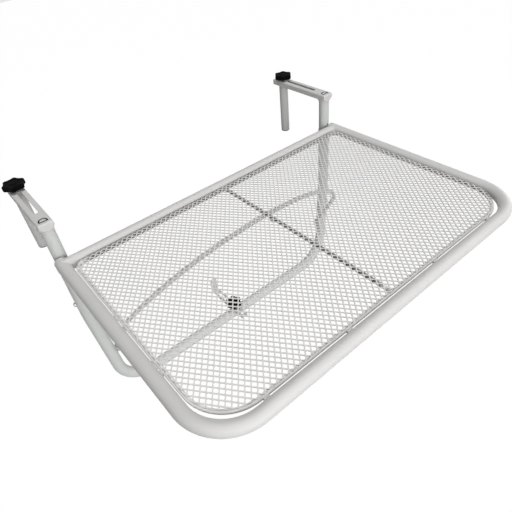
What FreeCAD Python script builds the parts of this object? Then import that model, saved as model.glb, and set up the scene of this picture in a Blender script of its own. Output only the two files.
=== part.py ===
import FreeCAD, Part
import math
import os

# Balcony railing bar table, all sizes in millimetres.
# X runs along the width, Y from the user towards the railing, Z up.
# The origin lies on the underside of the two hook arms, midway between them,
# and midway between the posts and the clamp pegs: where the handrail's top sits.

os.makedirs("parts", exist_ok=True)

# Table top
top_width = 600.0
top_depth = 400.0
frame_tube_d = 19.0
frame_tube_wall = 1.2
frame_corner_r = 62.0
border_rod_d = 6.0
border_side_gap = 1.1
border_front_gap = 2.4
border_rear_gap = 1.5
border_front_corner_r = 57.0
border_rear_corner_r = 14.0
mid_rod_d = 6.0
mesh_thickness = 1.5
mesh_below_tube_top = 4.0
mesh_pitch_x = 33.0
mesh_pitch_y = 41.0
mesh_strand = 4.0
tab_length = 8.0
tab_thickness = 4.0
tab_front_insets = (76.5, 205.5)
tab_rear_inset = 144.5
tab_side_places = (153.0, 266.0)
plug_dome = 2.0
plug_depth = 14.0

# Hanger: lower U tube, inner posts and hook arms
post_inset = 5.0
post_d = 20.0
post_wall = 1.5
post_depth_in_sleeve = 112.0
sleeve_d = 22.0
sleeve_wall = 0.8
sleeve_top_below_tube_axis = 7.0
post_behind_rear_tube = 24.0
run_below_tube_axis = 345.0
toe_in = 12.5
toe_in_start_below_tube_axis = 130.0
toe_in_bend_r = 400.0
run_bend_r = 68.0
arm_top_above_tube_axis = 69.0
arm_length = 150.0
arm_width = 23.0
arm_height = 10.0
arm_wall = 1.3
arm_edge_r = 1.8
arm_collar_drop = 4.5
arm_collar_edge = 0.4
arm_collar_floor = 2.0
arm_taper_start = 4.0
slot_width = 7.0
slot_front_from_arm_front = 36.0
slot_rear_margin = 13.0
tenon_width = 10.6
tenon_depth = 7.0
tenon_gap = 1.3

# Clamp pegs and knobs
peg_d = 18.0
peg_wall = 1.5
peg_bottom_below_tube_axis = 42.5
peg_from_arm_rear = 20.0
peg_insert_height = 14.0
peg_foot_height = 12.0
peg_foot_lip = 2.0
peg_foot_edge_r = 1.2
screw_d = 6.0
screw_bore_clearance = 0.1
screw_length = 34.0
knob_d = 36.0
knob_disc_height = 8.5
knob_neck_af = 12.0
knob_neck_height = 2.0
knob_lobes = 6
knob_scallop_r = 20.0
knob_scallop_depth = 2.9
knob_lobe_r = 2.5
knob_edge_r = 1.6
knob_turns = {"left": 7.0, "right": -12.0, "lower": 0.0}
washer_d = 16.0
washer_thickness = 1.2

# Prop bail
bail_d = 8.0
bail_tilt = 58.8
bail_leg_lean = 6.5
bail_bow_rise = 139.0
bail_corner_r = 44.0
bail_pivot_below_tube_axis = 238.0
bail_eye_d = 16.0
bail_eye_thickness = 4.0
bail_flat_width = 12.0
bail_flat_length = 13.0
bail_round_start = 9.0
bail_side_gap = 1.5
bail_bolt_d = 6.0
bail_bolt_head_af = 10.0
bail_bolt_head = 4.0
bail_bolt_reach = 7.0
bail_washer_d = 12.0
bail_washer_thickness = 0.8
catch_width = 3.0
catch_length = 5.0
catch_drop = 3.5
catch_before_bail = 20.0

# Hinge of the table top
hinge_below_tube_axis = 21.0
ear_thickness = 3.0
ear_r = 9.0
ear_gap = 0.5
hinge_pin_d = 8.0
pin_clearance = 0.05
pin_head_d = 14.0
pin_head = 1.8
hinge_nut_af = 13.0
hinge_nut = 5.0
hinge_pin_stick_out = 1.0

# Bolts that hold the posts in the sleeves
sleeve_bolt_below_tube_axis = 97.0
sleeve_bolt_d = 4.0
sleeve_bolt_head_d = 8.0
sleeve_bolt_head = 2.5
sleeve_nut_af = 7.0
sleeve_nut = 3.2
sleeve_bolt_stick_out = 0.8

# Lower hook
hook_width = 15.0
hook_height = 6.0
hook_thickness = 2.0
hook_bend_r = 3.0
hook_flange_rear_margin = 22.0
hook_front_before_run = 40.0
hook_rear_behind_run = 75.0
hook_upturn = 39.0
hook_corner_r = 3.5
hook_slot_end_margin = 8.0
hook_slot_rear_margin = 14.0
lower_screw_length = 34.0
lower_knob_lift = 4.0
insert_d = 11.0
insert_length = 12.0

# Clearances
slide_gap = 0.3
bolt_gap = 0.2

# Places that follow from the sizes above
tube_r = frame_tube_d / 2
post_r = post_d / 2
sleeve_r = sleeve_d / 2
arm_under_above_tube_axis = arm_top_above_tube_axis - arm_height
peg_behind_post = arm_length - arm_wall - post_r - peg_from_arm_rear
rail_gap = peg_behind_post - post_r - peg_d / 2
post_y = -rail_gap / 2 - post_r
peg_y = post_y + peg_behind_post
rear_tube_y = post_y - post_behind_rear_tube
front_tube_y = rear_tube_y - (top_depth - frame_tube_d)
side_tube_x = (top_width - frame_tube_d) / 2
post_x = side_tube_x - post_inset
tube_z = -arm_under_above_tube_axis
arm_front_y = post_y - post_r - arm_wall
arm_rear_y = arm_front_y + arm_length
arm_web_z = arm_height - arm_wall
run_z = tube_z - run_below_tube_axis
bail_pivot_z = tube_z - bail_pivot_below_tube_axis
hinge_z = tube_z - hinge_below_tube_axis
mesh_top_z = tube_z + tube_r - mesh_below_tube_top
mesh_bottom_z = mesh_top_z - mesh_thickness
rod_z = mesh_bottom_z - border_rod_d / 2
tube_to_border = tube_r + border_rod_d / 2
border_x = side_tube_x - tube_to_border - border_side_gap
border_rear_y = rear_tube_y - tube_to_border - border_rear_gap
border_front_y = front_tube_y + tube_to_border + border_front_gap
sleeve_top_z = tube_z - sleeve_top_below_tube_axis
post_bottom_z = tube_z - post_depth_in_sleeve
bail_top_z = rod_z - mid_rod_d / 2 - slide_gap - bail_d / 2
bail_height = (bail_top_z - bail_pivot_z) / math.sin(math.radians(bail_tilt))
hook_z = run_z + sleeve_r + slide_gap
hook_front_y = post_y - hook_front_before_run
hook_rear_y = post_y + hook_rear_behind_run
arm_knob_z = arm_height + slide_gap + washer_thickness
hook_top_z = hook_z + hook_height
lower_knob_z = hook_top_z + slide_gap + washer_thickness + lower_knob_lift

X_AXIS = FreeCAD.Vector(1, 0, 0)
Y_AXIS = FreeCAD.Vector(0, 1, 0)
Z_AXIS = FreeCAD.Vector(0, 0, 1)


def vec(x, y, z):
    return FreeCAD.Vector(x, y, z)


def cylinder(diameter, start, direction, length):
    """A round bar from start along direction."""
    return Part.makeCylinder(diameter / 2, length, start, direction)


def box(x0, x1, y0, y1, z0, z1):
    return Part.makeBox(x1 - x0, y1 - y0, z1 - z0, vec(x0, y0, z0))


def mirrored(shape):
    """The same shape on the other side of the middle plane."""
    return shape.mirror(vec(0, 0, 0), X_AXIS)


def on_side(shape, side):
    return shape if side > 0 else mirrored(shape)


def rounded_path(points, radii, closed=False):
    """Straight runs joined by tangent arcs, one radius for each corner."""
    count = len(points)
    corners = range(count) if closed else range(1, count - 1)
    cuts = {}
    for i in corners:
        here = points[i]
        back = (points[i - 1] - here).normalize()
        ahead = (points[(i + 1) % count] - here).normalize()
        half_turn = back.getAngle(ahead) / 2
        reach = radii[i] / math.tan(half_turn)
        middle_way = (back + ahead).normalize()
        centre = here + middle_way * (radii[i] / math.sin(half_turn))
        arc_start = here + back * reach
        arc_end = here + ahead * reach
        arc_middle = centre - middle_way * radii[i]
        cuts[i] = (arc_start, arc_middle, arc_end)
    edges = []
    spans = range(count) if closed else range(count - 1)
    for i in spans:
        j = (i + 1) % count
        start = cuts[i][2] if i in cuts else points[i]
        end = cuts[j][0] if j in cuts else points[j]
        if (end - start).Length > 0.01:
            edges.append(Part.LineSegment(start, end).toShape())
        if j in cuts:
            edges.append(Part.Arc(*cuts[j]).toShape())
    return edges


def bar_along(edges, diameter):
    """A round bar that follows a chain of lines and arcs."""
    first = edges[0]
    start = first.valueAt(first.FirstParameter)
    direction = first.tangentAt(first.FirstParameter)
    ring = Part.Wire(Part.makeCircle(diameter / 2, start, direction))
    return Part.Wire(edges).makePipeShell([ring], True, True)


def tube_along(edges, diameter, wall):
    return bar_along(edges, diameter).cut(bar_along(edges, diameter - 2 * wall))


def hexagon_prism(across_flats, start, direction, length):
    radius = across_flats / math.sqrt(3)
    corners = []
    for i in range(7):
        angle = math.radians(60 * i)
        corners.append(vec(radius * math.cos(angle), radius * math.sin(angle), 0))
    prism = Part.Face(Part.makePolygon(corners)).extrude(vec(0, 0, length))
    turn = FreeCAD.Rotation(Z_AXIS, direction)
    prism.Placement = FreeCAD.Placement(start, turn)
    return prism


def write(name, shape):
    shape.exportStep("parts/" + name + ".step")


def frame_tube():
    """Left side, rounded front and right side, bent from one tube."""
    points = [
        vec(-side_tube_x, rear_tube_y + tube_r, tube_z),
        vec(-side_tube_x, front_tube_y, tube_z),
        vec(side_tube_x, front_tube_y, tube_z),
        vec(side_tube_x, rear_tube_y + tube_r, tube_z),
    ]
    edges = rounded_path(points, [0, frame_corner_r, frame_corner_r, 0])
    return tube_along(edges, frame_tube_d, frame_tube_wall)


def side_tube_bar(side):
    return cylinder(frame_tube_d, vec(side * side_tube_x, front_tube_y, tube_z), Y_AXIS, top_depth)


def rear_tube():
    """Cross tube, coped onto the two side tubes."""
    start = vec(-side_tube_x, rear_tube_y, tube_z)
    length = 2 * side_tube_x
    outer = cylinder(frame_tube_d, start, X_AXIS, length)
    inner = cylinder(frame_tube_d - 2 * frame_tube_wall, start, X_AXIS, length)
    return outer.cut(inner).cut(side_tube_bar(-1)).cut(side_tube_bar(1))


def border_rod():
    """Closed rod loop under the edge of the mesh."""
    points = [
        vec(-border_x, border_front_y, rod_z),
        vec(border_x, border_front_y, rod_z),
        vec(border_x, border_rear_y, rod_z),
        vec(-border_x, border_rear_y, rod_z),
    ]
    radii = [border_front_corner_r, border_front_corner_r, border_rear_corner_r, border_rear_corner_r]
    middle = vec(0, border_front_y, rod_z)
    points = [middle] + points[1:] + [points[0], middle]
    radii = [0] + radii[1:] + [radii[0], 0]
    return bar_along(rounded_path(points, radii), border_rod_d)


def mid_rod():
    """Rod under the mesh from the front of the loop to its rear."""
    start = vec(0, border_front_y + border_rod_d / 2, rod_z)
    length = border_rear_y - border_front_y - border_rod_d
    return cylinder(mid_rod_d, start, Y_AXIS, length)


def mesh_outline():
    points = [
        vec(-border_x, border_front_y, mesh_bottom_z),
        vec(border_x, border_front_y, mesh_bottom_z),
        vec(border_x, border_rear_y, mesh_bottom_z),
        vec(-border_x, border_rear_y, mesh_bottom_z),
    ]
    radii = [border_front_corner_r, border_front_corner_r, border_rear_corner_r, border_rear_corner_r]
    return Part.Wire(rounded_path(points, radii, closed=True))


def mesh_panel():
    """Diamond mesh as one holed face: gaps in rows that are staggered by half a pitch."""
    margin = border_rod_d / 2
    half_x = mesh_pitch_x / 2 - mesh_strand / 2 * math.hypot(1, mesh_pitch_x / mesh_pitch_y)
    half_y = half_x * mesh_pitch_y / mesh_pitch_x
    middle_y = (border_front_y + border_rear_y) / 2
    inner_x = border_x - margin
    inner_y = (border_rear_y - border_front_y) / 2 - margin
    corner_x = inner_x - (border_front_corner_r - margin)
    corner_y = inner_y - (border_front_corner_r - margin)
    columns = int(inner_x / mesh_pitch_x) + 1
    rows = int(inner_y / mesh_pitch_y) + 1
    holes = []
    for shift in (0.0, 0.5):
        for column in range(-columns, columns + 1):
            for row in range(-rows, rows + 1):
                x = (column + shift) * mesh_pitch_x
                y = (row + shift) * mesh_pitch_y
                if abs(x) + half_x > inner_x or abs(y) + half_y > inner_y:
                    continue
                beyond_x = abs(x) + half_x - corner_x
                beyond_y = abs(y) + half_y / 2 - corner_y
                in_corner = y < 0 and beyond_x > 0 and beyond_y > 0
                if in_corner and math.hypot(beyond_x, beyond_y) > border_front_corner_r - margin:
                    continue
                diamond = [
                    vec(x + half_x, middle_y + y, mesh_bottom_z),
                    vec(x, middle_y + y + half_y, mesh_bottom_z),
                    vec(x - half_x, middle_y + y, mesh_bottom_z),
                    vec(x, middle_y + y - half_y, mesh_bottom_z),
                ]
                holes.append(Part.makePolygon(diamond + diamond[:1]))
    print("mesh gaps:", len(holes))
    face = Part.Face([mesh_outline()] + holes)
    face.validate()
    return face.extrude(vec(0, 0, mesh_thickness))


def weld_tabs():
    """Short tabs that bridge the gap between the frame tube and the border rod."""
    half = tab_length / 2
    low = rod_z - tab_thickness / 2
    high = rod_z + tab_thickness / 2
    bars = []
    for inset in tab_front_insets:
        for x in (inset - side_tube_x, side_tube_x - inset):
            bars.append(box(x - half, x + half, front_tube_y, border_front_y, low, high))
    for x in (tab_rear_inset - side_tube_x, 0.0, side_tube_x - tab_rear_inset):
        bars.append(box(x - half, x + half, border_rear_y, rear_tube_y, low, high))
    for distance in tab_side_places:
        y = rear_tube_y - distance
        bars.append(box(border_x, side_tube_x, y - half, y + half, low, high))
        bars.append(box(-side_tube_x, -border_x, y - half, y + half, low, high))
    neighbours = [
        side_tube_bar(-1),
        side_tube_bar(1),
        cylinder(frame_tube_d, vec(-side_tube_x, rear_tube_y, tube_z), X_AXIS, 2 * side_tube_x),
        cylinder(frame_tube_d, vec(-side_tube_x, front_tube_y, tube_z), X_AXIS, 2 * side_tube_x),
        border_rod(),
    ]
    tabs = []
    for bar in bars:
        for neighbour in neighbours:
            bar = bar.cut(neighbour)
        tabs.extend(bar.Solids)
    return Part.makeCompound(tabs)


def frame_plug(side):
    """Domed plug in the rear end of a side tube."""
    end_y = rear_tube_y + tube_r
    inner_d = frame_tube_d - 2 * frame_tube_wall
    centre = vec(side_tube_x, end_y, tube_z)
    stem = cylinder(inner_d, centre - Y_AXIS * plug_depth, Y_AXIS, plug_depth)
    dome_r = (tube_r ** 2 + plug_dome ** 2) / (2 * plug_dome)
    ball = Part.makeSphere(dome_r, centre - Y_AXIS * (dome_r - plug_dome))
    head = cylinder(frame_tube_d, centre, Y_AXIS, plug_dome).common(ball)
    return on_side(stem.fuse(head), side)


def hinge_ear(side):
    """Plate from the rear tube to the hinge pin, on the inner face of the sleeve."""
    outer_x = post_x - sleeve_r - ear_gap
    inner_x = outer_x - ear_thickness
    pin = vec(inner_x, post_y, hinge_z)
    tube = vec(inner_x, rear_tube_y, tube_z)
    way = (tube - pin).normalize()
    across = way.cross(X_AXIS) * ear_r
    corners = [pin + across, tube + across, tube - across, pin - across]
    plate = Part.Face(Part.makePolygon(corners + corners[:1])).extrude(X_AXIS * ear_thickness)
    plate = plate.fuse(cylinder(2 * ear_r, pin, X_AXIS, ear_thickness))
    plate = plate.cut(cylinder(frame_tube_d, vec(inner_x - 1, rear_tube_y, tube_z), X_AXIS, ear_thickness + 2))
    keep = box(inner_x - 1, outer_x + 1, rear_tube_y, post_y + 2 * ear_r, hinge_z - 2 * ear_r, tube_z + tube_r)
    plate = plate.common(keep)
    hole_d = hinge_pin_d + 2 * pin_clearance
    plate = plate.cut(cylinder(hole_d, pin - X_AXIS, X_AXIS, ear_thickness + 2))
    return on_side(plate.removeSplitter(), side)


def bail_direction(tilt):
    angle = math.radians(tilt)
    return vec(0, -math.cos(angle), math.sin(angle))


def catch_tab():
    """Small tab welded under the middle rod, in front of the bail's top."""
    bail_top_y = post_y + bail_direction(bail_tilt).y * bail_height
    rear_y = bail_top_y - catch_before_bail + catch_length / 2
    low = rod_z - mid_rod_d / 2 - catch_drop
    half = catch_width / 2
    return box(-half, half, rear_y - catch_length, rear_y, low, rod_z).cut(mid_rod())


def sleeve_leg_x(z):
    """Distance of a sleeve's axis from the middle at height z."""
    bend_z = tube_z - toe_in_start_below_tube_axis
    if z > bend_z:
        return post_x
    return post_x - toe_in * (bend_z - z) / (bend_z - run_z)


def u_frame_path():
    bend_z = tube_z - toe_in_start_below_tube_axis
    low_x = post_x - toe_in
    points = [
        vec(-post_x, post_y, sleeve_top_z),
        vec(-post_x, post_y, bend_z),
        vec(-low_x, post_y, run_z),
        vec(low_x, post_y, run_z),
        vec(post_x, post_y, bend_z),
        vec(post_x, post_y, sleeve_top_z),
    ]
    radii = [0, toe_in_bend_r, run_bend_r, run_bend_r, toe_in_bend_r, 0]
    return rounded_path(points, radii)


def cross_hole(diameter, z):
    start = vec(-post_x - sleeve_d, post_y, z)
    return cylinder(diameter, start, X_AXIS, 2 * (post_x + sleeve_d))


def u_frame_tube():
    """Lower frame: two sleeves and the cross run, bent from one tube."""
    tube = tube_along(u_frame_path(), sleeve_d, sleeve_wall)
    tube = tube.cut(cross_hole(hinge_pin_d + 2 * bolt_gap, hinge_z))
    tube = tube.cut(cross_hole(sleeve_bolt_d + 2 * bolt_gap, tube_z - sleeve_bolt_below_tube_axis))
    inner_x = sleeve_leg_x(bail_pivot_z)
    for side in (-1, 1):
        hole = cylinder(bail_bolt_d + 2 * bolt_gap, vec(side * inner_x, post_y, bail_pivot_z), X_AXIS * -side, sleeve_d)
        tube = tube.cut(hole)
    insert_hole = cylinder(insert_d, vec(0, post_y, run_z), Z_AXIS, sleeve_d)
    return tube.cut(insert_hole)


def tenon_outline(grow):
    """D-shaped outline over the post: flat towards the table, round towards the railing."""
    half = tenon_width / 2 + grow
    flat_y = post_y - tenon_depth / 2 - grow
    shoulder_y = flat_y + tenon_depth / 3 + grow
    crown_y = post_y + tenon_depth / 2 + grow
    edges = [
        Part.LineSegment(vec(post_x - half, shoulder_y, 0), vec(post_x - half, flat_y, 0)).toShape(),
        Part.LineSegment(vec(post_x - half, flat_y, 0), vec(post_x + half, flat_y, 0)).toShape(),
        Part.LineSegment(vec(post_x + half, flat_y, 0), vec(post_x + half, shoulder_y, 0)).toShape(),
        Part.Arc(
            vec(post_x + half, shoulder_y, 0), vec(post_x, crown_y, 0), vec(post_x - half, shoulder_y, 0)
        ).toShape(),
    ]
    return Part.Face(Part.Wire(edges))


def post(side):
    """Inner post: closed at its top by a cap with a D-shaped tenon."""
    length = arm_web_z - post_bottom_z
    start = vec(post_x, post_y, post_bottom_z)
    tube = cylinder(post_d, start, Z_AXIS, length)
    bore = cylinder(post_d - 2 * post_wall, start, Z_AXIS, length - 2 * post_wall)
    tenon = tenon_outline(0).extrude(vec(0, 0, arm_wall))
    tenon.translate(vec(0, 0, arm_web_z))
    shape = tube.cut(bore).fuse(tenon)
    shape = shape.cut(cross_hole(hinge_pin_d + 2 * bolt_gap, hinge_z))
    shape = shape.cut(cross_hole(sleeve_bolt_d + 2 * bolt_gap, tube_z - sleeve_bolt_below_tube_axis))
    return on_side(shape, side)


def arm_funnel():
    """Cone round the post that the front of an arm narrows to."""
    wide_r = math.hypot(arm_width / 2, post_y - arm_front_y)
    foot = vec(post_x, post_y, -arm_collar_drop)
    return Part.makeCone(post_r + arm_collar_edge, wide_r, arm_collar_drop + arm_taper_start, foot, Z_AXIS)


def arm_bar():
    """Outer form of a hook arm: its edges rounded, with a collar that narrows downwards to the post."""
    half = arm_width / 2
    bar = box(post_x - half, post_x + half, arm_front_y, arm_rear_y, 0, arm_height)
    rounded = []
    for edge in bar.Edges:
        bounds = edge.BoundBox
        on_top = bounds.ZMin > arm_height - 0.01
        upright = bounds.ZLength > 1
        if on_top or upright:
            rounded.append(edge)
    bar = bar.makeFillet(arm_edge_r, rounded)
    funnel = arm_funnel()
    front = box(post_x - half, post_x + half, arm_front_y, post_y, 0, arm_taper_start)
    below = box(post_x - half, post_x + half, arm_front_y, arm_rear_y, -arm_collar_drop, 0)
    return bar.cut(front.cut(funnel)).fuse(funnel.common(below))


def arm(side):
    """Hook arm: a channel open below, with a long slot, closed below by its collar round the post."""
    left, right = post_x - arm_width / 2 + arm_wall, post_x + arm_width / 2 - arm_wall
    front, rear = arm_front_y + arm_wall, arm_rear_y - arm_wall
    collar_rear = arm_funnel().common(box(left, right, post_y, arm_rear_y, -arm_collar_drop, 0)).BoundBox.YMax
    inside = box(left, right, front, rear, arm_collar_floor, arm_web_z)
    open_below = box(left, right, collar_rear, rear, -1, arm_web_z)
    bore = cylinder(post_d, vec(post_x, post_y, -2 * arm_collar_drop), Z_AXIS, arm_web_z + 2 * arm_collar_drop)
    body = arm_bar().cut(inside).cut(open_below).cut(bore)
    slot_front = arm_front_y + slot_front_from_arm_front
    slot_rear = arm_rear_y - slot_rear_margin
    body = body.cut(slot_tool(post_x, slot_front, slot_rear, arm_web_z - 1, arm_height + 1))
    window = tenon_outline(tenon_gap).extrude(vec(0, 0, 4 * arm_wall))
    window.translate(vec(0, 0, arm_web_z - arm_wall))
    return on_side(body.cut(window), side)


def slot_tool(x, front, rear, low, high):
    """A round-ended slot along Y, between its two end points."""
    r = slot_width / 2
    bar = box(x - r, x + r, front + r, rear - r, low, high)
    front_end = cylinder(slot_width, vec(x, front + r, low), Z_AXIS, high - low)
    rear_end = cylinder(slot_width, vec(x, rear - r, low), Z_AXIS, high - low)
    return bar.fuse(front_end).fuse(rear_end)


def peg_tube(side):
    top = arm_web_z - slide_gap
    bottom = tube_z - peg_bottom_below_tube_axis
    start = vec(post_x, peg_y, bottom)
    tube = cylinder(peg_d, start, Z_AXIS, top - bottom)
    return on_side(tube.cut(cylinder(peg_d - 2 * peg_wall, start, Z_AXIS, top - bottom)), side)


def peg_insert(side):
    """Threaded plug pressed into the top of a peg."""
    top = arm_web_z - slide_gap
    start = vec(post_x, peg_y, top - peg_insert_height)
    plug = cylinder(peg_d - 2 * peg_wall, start, Z_AXIS, peg_insert_height)
    bore = cylinder(screw_d + 2 * screw_bore_clearance, start, Z_AXIS, peg_insert_height)
    return on_side(plug.cut(bore), side)


def peg_foot(side):
    """Plug in the lower end of a peg, with a lip of the tube's diameter."""
    bottom = tube_z - peg_bottom_below_tube_axis
    stem = cylinder(peg_d - 2 * peg_wall, vec(post_x, peg_y, bottom), Z_AXIS, peg_foot_height)
    lip = cylinder(peg_d, vec(post_x, peg_y, bottom - peg_foot_lip), Z_AXIS, peg_foot_lip)
    edge = [e for e in lip.Edges if abs(e.BoundBox.ZMax - (bottom - peg_foot_lip)) < 0.01]
    lip = lip.makeFillet(peg_foot_edge_r, edge)
    return on_side(stem.fuse(lip), side)


def knob_outline():
    """Outline of a knob about the origin: arcs of the rim between wide shallow hollows."""
    outer = knob_d / 2
    hollow_centre = outer - knob_scallop_depth + knob_scallop_r
    crossing = (outer ** 2 + hollow_centre ** 2 - knob_scallop_r ** 2) / (2 * outer * hollow_centre)
    hollow_half = math.acos(crossing)
    step = 2 * math.pi / knob_lobes

    def at(radius, angle):
        return vec(radius * math.cos(angle), radius * math.sin(angle), 0)

    edges = []
    for i in range(knob_lobes):
        lobe = i * step
        lobe_half = step / 2 - hollow_half
        edges.append(Part.Arc(at(outer, lobe - lobe_half), at(outer, lobe), at(outer, lobe + lobe_half)).toShape())
        hollow = lobe + step / 2
        deepest = at(outer - knob_scallop_depth, hollow)
        edges.append(Part.Arc(at(outer, hollow - hollow_half), deepest, at(outer, hollow + hollow_half)).toShape())
    return Part.Face(Part.Wire(edges))


def knob(x, y, base_z, turn):
    """Lobed knob: a six-sided neck below a disc with wide hollows."""
    disc = knob_outline().extrude(vec(0, 0, knob_disc_height))
    lobe_edges = [edge for edge in disc.Edges if edge.BoundBox.ZLength > knob_disc_height / 2]
    disc = disc.makeFillet(knob_lobe_r, lobe_edges)
    rims = [edge for edge in disc.Edges if edge.BoundBox.ZLength < 0.01]
    disc = disc.makeFillet(knob_edge_r, rims)
    disc.rotate(vec(0, 0, 0), Z_AXIS, turn)
    disc.translate(vec(x, y, base_z + knob_neck_height))
    neck = hexagon_prism(knob_neck_af, vec(x, y, base_z), Z_AXIS, knob_neck_height)
    bore = cylinder(screw_d, vec(x, y, base_z), Z_AXIS, knob_neck_height + knob_disc_height / 2)
    return disc.fuse(neck).cut(bore)


def knob_screw(x, y, base_z, length):
    """Screw moulded into a knob, from halfway up its disc."""
    top = base_z + knob_neck_height + knob_disc_height / 2
    return cylinder(screw_d, vec(x, y, top - length), Z_AXIS, length)


def washer(x, y, base_z):
    ring = cylinder(washer_d, vec(x, y, base_z), Z_AXIS, washer_thickness)
    return ring.cut(cylinder(screw_d + 2 * screw_bore_clearance, vec(x, y, base_z), Z_AXIS, washer_thickness))


def bail_pivot_x():
    """Distance of a bail leg's axis from the middle at its pivot."""
    return sleeve_leg_x(bail_pivot_z) - sleeve_r - bail_side_gap - bail_d / 2


def bail_head_x():
    """Where the heads of the bail's bolts sit, on the inner faces of its eyes."""
    return bail_pivot_x() + bail_d / 2 - bail_eye_thickness - slide_gap


def bail_eye(side):
    """Flattened end of the rod, flush with its outer side, with a hole for the bolt."""
    outer_x = bail_pivot_x() + bail_d / 2
    pivot = vec(outer_x - bail_eye_thickness, post_y, bail_pivot_z)
    way = bail_direction(bail_tilt)
    across = way.cross(X_AXIS) * (bail_flat_width / 2)
    far = pivot + way * bail_flat_length
    corners = [pivot + across, far + across, far - across, pivot - across]
    plate = Part.Face(Part.makePolygon(corners + corners[:1])).extrude(X_AXIS * bail_eye_thickness)
    plate = plate.fuse(cylinder(bail_eye_d, pivot, X_AXIS, bail_eye_thickness))
    hole_d = bail_bolt_d + 2 * pin_clearance
    plate = plate.cut(cylinder(hole_d, pivot - X_AXIS, X_AXIS, bail_eye_thickness + 2))
    return on_side(plate, side)


def prop_bail():
    """Bowed rod that hinges on the sleeves and props the table under its middle rod."""
    lean = math.radians(bail_leg_lean)
    leg_x, leg_u = -math.sin(lean), math.cos(lean)
    half_span = bail_pivot_x() - math.tan(lean) * (bail_height - bail_bow_rise)
    bow_r = (half_span ** 2 + bail_bow_rise ** 2) / (2 * bail_bow_rise)
    bow_centre = bail_height - bow_r
    # The corner's centre lies one corner radius inside the leg's line and touches the bow.
    near_x = bail_pivot_x() - bail_corner_r * math.cos(lean)
    near_u = -bail_corner_r * math.sin(lean) - bow_centre
    half_b = near_x * leg_x + near_u * leg_u
    rest = near_x ** 2 + near_u ** 2 - (bow_r - bail_corner_r) ** 2
    along = -half_b + math.sqrt(half_b ** 2 - rest)
    corner_x = near_x + leg_x * along
    corner_u = near_u + bow_centre + leg_u * along
    end_x = bail_pivot_x() + leg_x * bail_round_start
    end_u = leg_u * bail_round_start
    bow_angle = math.atan2(corner_u - bow_centre, corner_x)
    middle_angle = (bow_angle + lean) / 2

    direction = bail_direction(bail_tilt)
    base = vec(0, post_y, bail_pivot_z)

    def place(side, x, u):
        return vec(side * x, 0, 0) + base + direction * u

    def on_corner(side, angle):
        x = corner_x + bail_corner_r * math.cos(angle)
        return place(side, x, corner_u + bail_corner_r * math.sin(angle))

    legs = [(place(side, end_x, end_u), on_corner(side, lean)) for side in (-1, 1)]
    edges = [
        Part.LineSegment(legs[0][0], legs[0][1]).toShape(),
        Part.Arc(legs[0][1], on_corner(-1, middle_angle), on_corner(-1, bow_angle)).toShape(),
        Part.Arc(on_corner(-1, bow_angle), place(0, 0, bail_height), on_corner(1, bow_angle)).toShape(),
        Part.Arc(on_corner(1, bow_angle), on_corner(1, middle_angle), legs[1][1]).toShape(),
        Part.LineSegment(legs[1][1], legs[1][0]).toShape(),
    ]
    return bar_along(edges, bail_d).fuse(bail_eye(-1)).fuse(bail_eye(1))


def bail_bolts():
    """Pivot bolts of the bail, heads inwards, one in each sleeve."""
    end_x = sleeve_leg_x(bail_pivot_z) - sleeve_r + bail_bolt_reach
    bolts = []
    for side in (-1, 1):
        centre = vec(side * bail_head_x(), post_y, bail_pivot_z)
        shank = cylinder(bail_bolt_d, centre, X_AXIS * side, end_x - bail_head_x())
        head = hexagon_prism(bail_bolt_head_af, centre, X_AXIS * -side, bail_bolt_head)
        bolts.append(shank.fuse(head))
    return Part.makeCompound(bolts)


def bail_washers():
    """Spacing washers between the bail's eyes and the sleeves."""
    near_x = bail_pivot_x() + bail_d / 2 + (bail_side_gap - bail_washer_thickness) / 2
    rings = []
    for side in (-1, 1):
        centre = vec(side * near_x, post_y, bail_pivot_z)
        ring = cylinder(bail_washer_d, centre, X_AXIS * side, bail_washer_thickness)
        rings.append(ring.cut(cylinder(bail_bolt_d, centre, X_AXIS * side, bail_washer_thickness)))
    return Part.makeCompound(rings)


def hinge_pins():
    """Pins through sleeve, post and ear, with a low head outside."""
    outer_x = post_x + sleeve_r
    inner_end = post_x - sleeve_r - 2 * ear_gap - ear_thickness - hinge_nut - hinge_pin_stick_out
    pins = []
    for side in (-1, 1):
        centre = vec(side * outer_x, post_y, hinge_z)
        shank = cylinder(hinge_pin_d, centre, X_AXIS * -side, outer_x - inner_end)
        head = Part.makeCone(pin_head_d / 2, pin_head_d / 4, pin_head, centre, X_AXIS * side)
        pins.append(shank.fuse(head))
    return Part.makeCompound(pins)


def hinge_nuts():
    near_x = post_x - sleeve_r - ear_gap - ear_thickness - ear_gap
    nuts = []
    for side in (-1, 1):
        centre = vec(side * near_x, post_y, hinge_z)
        nut = hexagon_prism(hinge_nut_af, centre, X_AXIS * -side, hinge_nut)
        nuts.append(nut.cut(cylinder(hinge_pin_d, centre, X_AXIS * -side, hinge_nut)))
    return Part.makeCompound(nuts)


def sleeve_bolts():
    z = tube_z - sleeve_bolt_below_tube_axis
    bolts = []
    for side in (-1, 1):
        head_at = vec(side * (post_x - sleeve_r), post_y, z)
        length = sleeve_d + sleeve_nut + sleeve_bolt_stick_out
        shank = cylinder(sleeve_bolt_d, head_at, X_AXIS * side, length)
        head = Part.makeCone(sleeve_bolt_head_d / 2, sleeve_bolt_head_d / 4, sleeve_bolt_head, head_at, X_AXIS * -side)
        bolts.append(shank.fuse(head))
    return Part.makeCompound(bolts)


def sleeve_nuts():
    z = tube_z - sleeve_bolt_below_tube_axis
    nuts = []
    for side in (-1, 1):
        centre = vec(side * (post_x + sleeve_r), post_y, z)
        nut = hexagon_prism(sleeve_nut_af, centre, X_AXIS * side, sleeve_nut)
        nuts.append(nut.cut(cylinder(sleeve_bolt_d, centre, X_AXIS * side, sleeve_nut)))
    return Part.makeCompound(nuts)


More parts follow.
